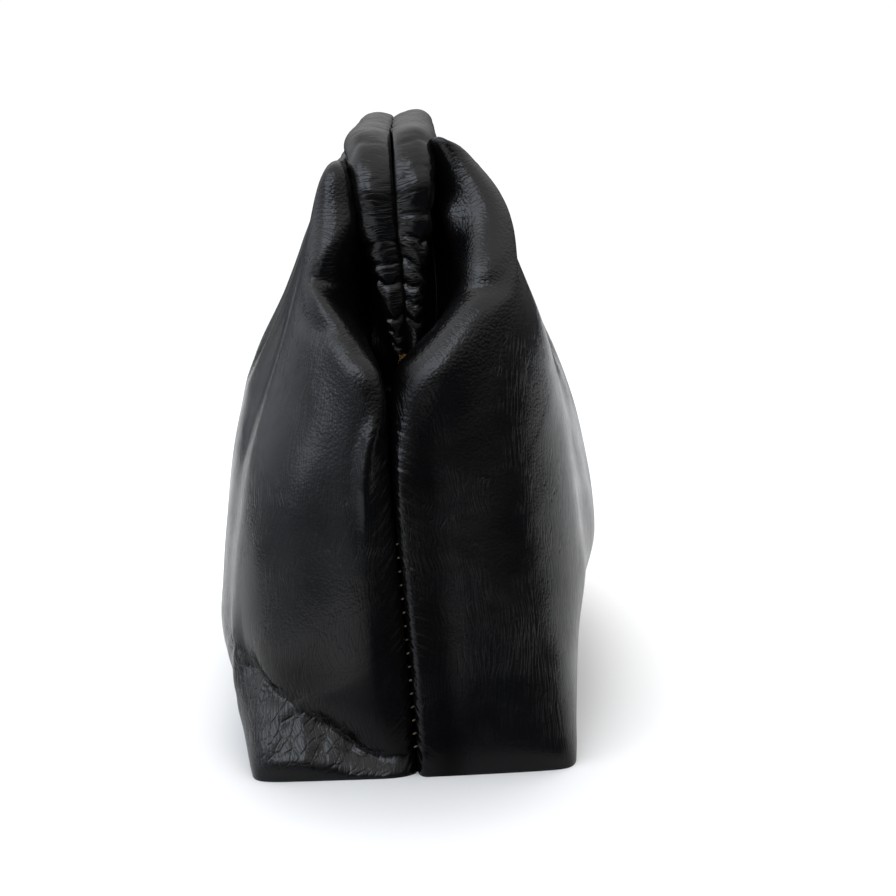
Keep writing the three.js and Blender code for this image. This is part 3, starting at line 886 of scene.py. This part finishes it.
def leather_material(name, smoothest, roughest):
    """Black glazed leather: pores, stretch lines that run with the hide, crazing where it folds, and
    painted shade as lower gloss in the pockets and beside the near seam.
    """
    material, nodes = new_material(name)
    place = nodes.add("ShaderNodeTexCoord").outputs
    on_bag = place["Object"]
    sway = nodes.noise(on_bag, SWAY_SCALE, 3.0)["Color"]
    shift = nodes.vector("SCALE", {0: sway, "Scale": SWAY_REACH})["Vector"]
    hide = nodes.vector("ADD", {0: place["UV"], 1: shift})["Vector"]
    patch = nodes.noise(on_bag, PATCH_SCALE, 2.0)["Fac"]
    folds = nodes.noise(on_bag, WRINKLE_SCALE, 4.0)["Fac"]
    crease = nodes.mark("crease")
    opened = nodes.ramp(nodes.mark("bent"), 0.0, 1.0, *PORE_STRENGTH)
    pores = nodes.bump(nodes.cells(on_bag, PORE_SCALE), opened, PORE_DEPTH, invert=True)
    from_line = nodes.cells(nodes.stretched(hide, LINE_STRETCH), 1.0, "DISTANCE_TO_EDGE")
    lines = nodes.ramp(from_line, 0.0, LINE_WIDTH, kind="SMOOTHSTEP")
    grain = nodes.bump(lines, nodes.ramp(patch, 0.38, 0.62, 0.15, 1.0), LINE_DEPTH, pores)
    veins = nodes.ramp(nodes.cells(hide, VEIN_SCALE, "DISTANCE_TO_EDGE"), 0.0, VEIN_WIDTH)
    craze = nodes.bump(veins, nodes.math("MULTIPLY", crease, VEIN_STRENGTH), VEIN_DEPTH, grain)
    drawn = nodes.noise(nodes.stretched(hide, PUCKER_STRETCH), 1.0, 1.0)["Fac"]
    puckers = nodes.bump(drawn, nodes.mark("pucker"), PUCKER_DEPTH, craze)
    rough = nodes.ramp(patch, 0.3, 0.7, smoothest, roughest)
    skin = nodes.add("ShaderNodeBsdfPrincipled", {
        "Base Color": nodes.tint(folds, SKIN_DARK, SKIN_LIGHT),
        "Roughness": nodes.math("MULTIPLY_ADD", crease, CREASE_POLISH, rough),
        # painted shade: the gloss drops where the inside mark lies, in the pockets and beside the near seam
        "Specular IOR Level": nodes.ramp(nodes.mark("inside"), 0.0, 1.0, SKIN_GLOSS, PAINTED_SHADE_GLOSS),
        "Normal": nodes.bump(folds, WRINKLE_STRENGTH, WRINKLE_DEPTH, puckers),
    })
    skin.inputs["Specular IOR Level"].default_value = SKIN_GLOSS
    nodes.add("ShaderNodeOutputMaterial", {"Surface": skin.outputs["BSDF"]})
    return material


def metal_material(name, bag):
    """Polished gold metal with fine scuffs."""
    material, nodes = new_material(name)
    place = nodes.add("ShaderNodeTexCoord").outputs["Object"]
    scuffs = nodes.noise(place, SCUFF_SCALE, 3.0)["Fac"]
    shine = nodes.add("ShaderNodeBsdfPrincipled", {
        "Base Color": (*bag.metal_color, 1),
        "Metallic": 1.0,
        "Roughness": nodes.ramp(scuffs, 0.0, 1.0, *METAL_ROUGHNESS),
    })
    nodes.add("ShaderNodeOutputMaterial", {"Surface": shine.outputs["BSDF"]})
    return material


def thread_material(name, bag):
    """Waxed thread, twisted along its length."""
    material, nodes = new_material(name)
    place = nodes.add("ShaderNodeTexCoord").outputs["Object"]
    wave = nodes.add("ShaderNodeTexWave", {"Vector": place, "Scale": TWIST_SCALE, "Distortion": 1.5})
    twist = wave.outputs["Fac"]
    # painted shade: the twist is tinted towards a darker copy of the thread colour
    shaded = [THREAD_SHADE * part for part in bag.thread_color]
    wax = nodes.add("ShaderNodeBsdfPrincipled", {
        "Base Color": nodes.tint(twist, (*bag.thread_color, 1), (*shaded, 1)),
        "Roughness": THREAD_ROUGHNESS,
        "Normal": nodes.bump(twist, 0.5, 0.1 * MM),
    })
    nodes.add("ShaderNodeOutputMaterial", {"Surface": wax.outputs["BSDF"]})
    return material


def floor_material(name):
    """Matt white, with painted shade in its reflections: darker in reflections on the camera's side of the
    bag, far off and a little all over, and plain white far off.
    """
    material, nodes = new_material(name)
    place = nodes.add("ShaderNodeTexCoord").outputs["Object"]
    axes = nodes.add("ShaderNodeSeparateXYZ", {"Vector": place}).outputs
    ray = nodes.add("ShaderNodeLightPath").outputs
    mirrored = ray["Is Glossy Ray"]
    reach = nodes.vector("LENGTH", {0: place})["Value"]
    # painted shade in reflections: glossy rays see the floor darker in front of the bag, far off, and a
    # little everywhere
    front = nodes.math("MULTIPLY", nodes.ramp(axes["X"], 0.12, 0.2), nodes.ramp(axes["Y"], -0.3, 0.0))
    painted_shade_zone = nodes.math("MAXIMUM", front, nodes.ramp(reach, 1.2, 2.2))
    least = nodes.math("MULTIPLY", mirrored, FLOOR_LEAST_DIM)
    dim = nodes.math("MAXIMUM", nodes.math("MULTIPLY", painted_shade_zone, mirrored), least)
    matt = nodes.add("ShaderNodeBsdfDiffuse", {"Color": nodes.tint(dim, FLOOR_WHITE, FLOOR_REFLECTED_SHADE)})
    away = nodes.ramp(reach, 0.5, 1.1, kind="SMOOTHSTEP")
    plain = nodes.add("ShaderNodeEmission", {"Color": WHITE, "Strength": BACKDROP})
    seen = nodes.add("ShaderNodeMixShader", {
        "Fac": nodes.math("MULTIPLY", away, ray["Is Camera Ray"]),
        1: matt.outputs["BSDF"],
        2: plain.outputs["Emission"],
    })
    nodes.add("ShaderNodeOutputMaterial", {"Surface": seen.outputs["Shader"]})
    material.cycles.emission_sampling = "NONE"
    return material


# Settings


class PouchBagSettings(bpy.types.PropertyGroup):
    """Sizes and colours of the bag."""

    wall: bpy.props.FloatProperty(
        name="Leather",
        description="Thickness of the leather panels",
        default=1.4 * MM,
        subtype="DISTANCE",
        unit="LENGTH",
    )
    gather_depth: bpy.props.FloatProperty(
        name="Gather depth",
        description="Depth of the pleats under the sleeves",
        default=2.0 * MM,
        subtype="DISTANCE",
        unit="LENGTH",
    )
    gather_pitch: bpy.props.FloatProperty(
        name="Gather pitch",
        description="Distance between the pleats",
        default=24 * MM,
        subtype="DISTANCE",
        unit="LENGTH",
    )
    ruche_depth: bpy.props.FloatProperty(
        name="Ruche depth",
        description="Depth of the sleeve's gathers, as a share of its radius",
        default=0.3,
        subtype="FACTOR",
    )
    stitch_pitch: bpy.props.FloatProperty(
        name="Stitch",
        description="Distance between the stitches of the end seams",
        default=4.7 * MM,
        subtype="DISTANCE",
        unit="LENGTH",
    )
    thread_color: bpy.props.FloatVectorProperty(
        name="Thread",
        description="Colour of the stitches",
        default=(0.12, 0.09, 0.05),
        subtype="COLOR",
        size=3,
    )
    metal_color: bpy.props.FloatVectorProperty(
        name="Metal",
        description="Colour of the frame and rivets",
        default=(0.85, 0.56, 0.22),
        subtype="COLOR",
        size=3,
    )


class PouchStageSettings(bpy.types.PropertyGroup):
    """Place and lens of the camera."""

    lens: bpy.props.FloatProperty(
        name="Lens",
        description="Focal length on a 36 mm sensor",
        default=78.27,
    )
    place: bpy.props.FloatVectorProperty(
        name="Camera",
        description="Place of the camera",
        default=(0.80192, 0.01008, 0.243),
        subtype="XYZ",
        size=3,
    )
    target: bpy.props.FloatVectorProperty(
        name="Target",
        description="Point that the camera looks at",
        default=(0.0, 0.01642, 0.08368),
        subtype="XYZ",
        size=3,
    )
    roll: bpy.props.FloatProperty(
        name="Roll",
        description="Turn of the camera about its line of sight",
        default=math.radians(-2.3),
        subtype="ANGLE",
        unit="ROTATION",
    )


# Operators


class POUCH_OT_panels(bpy.types.Operator):
    """Builds the two gathered leather panels"""

    bl_idname = "pouch.panels"
    bl_label = "Leather panels"

    def execute(self, context):
        bag = context.scene.pouch_bag
        leather = leather_material("black_nappa", *PANEL_ROUGHNESS)
        for panel in (FRONT, BACK):
            piece = add_piece(f"{panel.name}_leather", panel_mesh(panel, bag), leather)
            add_modifier(piece, "wall", "SOLIDIFY", thickness=bag.wall, offset=-1.0, use_even_offset=False)
            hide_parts(f"{panel.name}_panel")
        return {"FINISHED"}


class POUCH_OT_sleeves(bpy.types.Operator):
    """Builds the two ruched leather sleeves over the frame"""

    bl_idname = "pouch.sleeves"
    bl_label = "Ruched sleeves"

    def execute(self, context):
        bag = context.scene.pouch_bag
        leather = leather_material("black_nappa_ruched", *SLEEVE_ROUGHNESS)
        for panel in (FRONT, BACK):
            piece = add_piece(f"{panel.name}_ruching", sleeve_mesh(panel, bag), leather)
            add_modifier(piece, "wall", "SOLIDIFY", thickness=SLEEVE_WALL, offset=-1.0)
            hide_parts(f"{panel.name}_sleeve")
        return {"FINISHED"}


class POUCH_OT_stitches(bpy.types.Operator):
    """Sews the panels together down both ends"""

    bl_idname = "pouch.stitches"
    bl_label = "Seam stitches"

    def execute(self, context):
        bag = context.scene.pouch_bag
        thread = thread_material("waxed_thread", bag)
        add_piece("seam_stitches", stitch_mesh(bag), thread)
        return {"FINISHED"}


class POUCH_OT_frame(bpy.types.Operator):
    """Gives the hinged frame and its rivets their metal"""

    bl_idname = "pouch.frame"
    bl_label = "Hinged frame"

    def execute(self, context):
        metal = metal_material("pale_gold", context.scene.pouch_bag)
        for node in ("front_frame", "back_frame", "hinge_rivet_right", "hinge_rivet_left"):
            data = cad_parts[node].data
            data.materials.clear()
            data.materials.append(metal)
        return {"FINISHED"}


class POUCH_OT_stage(bpy.types.Operator):
    """Sets up the floor, the studio light and the camera"""

    bl_idname = "pouch.stage"
    bl_label = "Stage"

    def execute(self, context):
        scene = context.scene
        scene.view_settings.view_transform = "Standard"
        add_floor(scene)
        add_room(scene)
        add_lamp(scene)
        add_camera(scene, scene.pouch_stage)
        return {"FINISHED"}


# Studio: two cool windows that the leather reflects, and a ceiling lamp

FLOOR_SIZE = 30.0
WINDOW_TINT = (0.79, 0.87, 1, 1)
LEFT_WINDOW = Vector((0.5, -0.7, 0.5))
HIGH_WINDOW = Vector((0.77, -0.26, 0.58))
LAMP_PLACE = Vector((-0.8, 0.03, 1.4))
LAMP_SIZE = 1.0
LAMP_POWER = 19.0


def add_floor(scene):
    mesh = bmesh.new()
    bmesh.ops.create_grid(mesh, x_segments=1, y_segments=1, size=FLOOR_SIZE)
    data = bpy.data.meshes.new("floor")
    mesh.to_mesh(data)
    mesh.free()
    data.materials.append(floor_material("pale_floor"))
    floor = bpy.data.objects.new("floor", data)
    scene.collection.objects.link(floor)


def window_glow(nodes, way, aim, edge, middle, strength):
    """Light of a round, soft-edged window in the direction of aim."""
    facing = nodes.vector("DOT_PRODUCT", {0: way, 1: aim.normalized()})["Value"]
    return nodes.ramp(facing, edge, middle, 0.0, strength, "SMOOTHSTEP")


def add_room(scene):
    """Soft light from above and behind, dim on the camera's side, with cool windows on the left."""
    world = bpy.data.worlds.new("studio")
    scene.world = world
    world.use_nodes = True
    nodes = Nodes(world.node_tree)
    way = nodes.add("ShaderNodeTexCoord").outputs["Generated"]
    axes = nodes.add("ShaderNodeSeparateXYZ", {"Vector": way}).outputs
    back = nodes.ramp(axes["X"], 0.45, -0.35, 0.008, 0.16, "SMOOTHSTEP")
    side = nodes.ramp(axes["Y"], 0.6, -0.2, 0.6, 1.0, "SMOOTHSTEP")
    top = nodes.ramp(axes["Z"], -0.05, 0.75, kind="SMOOTHSTEP")
    room = nodes.math("ADD", nodes.math("MULTIPLY", back, side), top)
    left_window = window_glow(nodes, way, LEFT_WINDOW, 0.92, 0.98, 1.9)
    high_window = window_glow(nodes, way, HIGH_WINDOW, 0.955, 0.99, 2.6)
    left_wall = nodes.ramp(axes["Y"], -0.3, -0.85, 0.0, 0.5, "SMOOTHSTEP")
    cool = nodes.math("ADD", nodes.math("ADD", left_window, high_window), left_wall)
    light = nodes.add("ShaderNodeAddShader", {0: nodes.glow(WHITE, room), 1: nodes.glow(WINDOW_TINT, cool)})
    seen = nodes.add("ShaderNodeMixShader", {
        "Fac": nodes.add("ShaderNodeLightPath").outputs["Is Camera Ray"],
        1: light.outputs["Shader"],
        2: nodes.glow(WHITE, BACKDROP),
    })
    nodes.add("ShaderNodeOutputWorld", {"Surface": seen.outputs["Shader"]})


def add_lamp(scene):
    """Lamp for the floor, left out of reflections."""
    lamp = bpy.data.lights.new("ceiling", "AREA")
    lamp.size = LAMP_SIZE
    lamp.energy = LAMP_POWER
    ceiling = bpy.data.objects.new("ceiling", lamp)
    ceiling.visible_glossy = False
    scene.collection.objects.link(ceiling)
    aim = (-LAMP_PLACE).to_track_quat("-Z", "Y").to_matrix().to_4x4()
    ceiling.matrix_world = Matrix.Translation(LAMP_PLACE) @ aim


def add_camera(scene, stage):
    data = bpy.data.cameras.new("camera")
    data.lens = stage.lens
    data.sensor_width = 36.0
    camera = bpy.data.objects.new("camera", data)
    scene.collection.objects.link(camera)
    look = (Vector(stage.target) - Vector(stage.place)).to_track_quat("-Z", "Y").to_matrix().to_4x4()
    camera.matrix_world = Matrix.Translation(stage.place) @ look @ Matrix.Rotation(stage.roll, 4, "Z")
    scene.camera = camera


class POUCH_PT_sidebar(bpy.types.Panel):
    """Lists the bag's pieces and settings"""

    bl_idname = "POUCH_PT_sidebar"
    bl_label = "Pouch Bag"
    bl_space_type = "VIEW_3D"
    bl_region_type = "UI"
    bl_category = "Pouch Bag"

    def draw(self, context):
        for operator in STEPS:
            self.layout.operator(operator.bl_idname)
        for settings in (context.scene.pouch_bag, context.scene.pouch_stage):
            for name in settings.__annotations__:
                self.layout.prop(settings, name)


STEPS = (POUCH_OT_panels, POUCH_OT_sleeves, POUCH_OT_stitches, POUCH_OT_frame, POUCH_OT_stage)
CLASSES = (PouchBagSettings, PouchStageSettings, *STEPS, POUCH_PT_sidebar)


def register():
    for cls in CLASSES:
        bpy.utils.register_class(cls)
    bpy.types.Scene.pouch_bag = bpy.props.PointerProperty(type=PouchBagSettings)
    bpy.types.Scene.pouch_stage = bpy.props.PointerProperty(type=PouchStageSettings)


def unregister():
    del bpy.types.Scene.pouch_stage
    del bpy.types.Scene.pouch_bag
    for cls in reversed(CLASSES):
        bpy.utils.unregister_class(cls)


def main():
    register()
    bpy.ops.pouch.panels()
    bpy.ops.pouch.sleeves()
    bpy.ops.pouch.stitches()
    bpy.ops.pouch.frame()
    bpy.ops.pouch.stage()


if __name__ == "__main__":
    main()
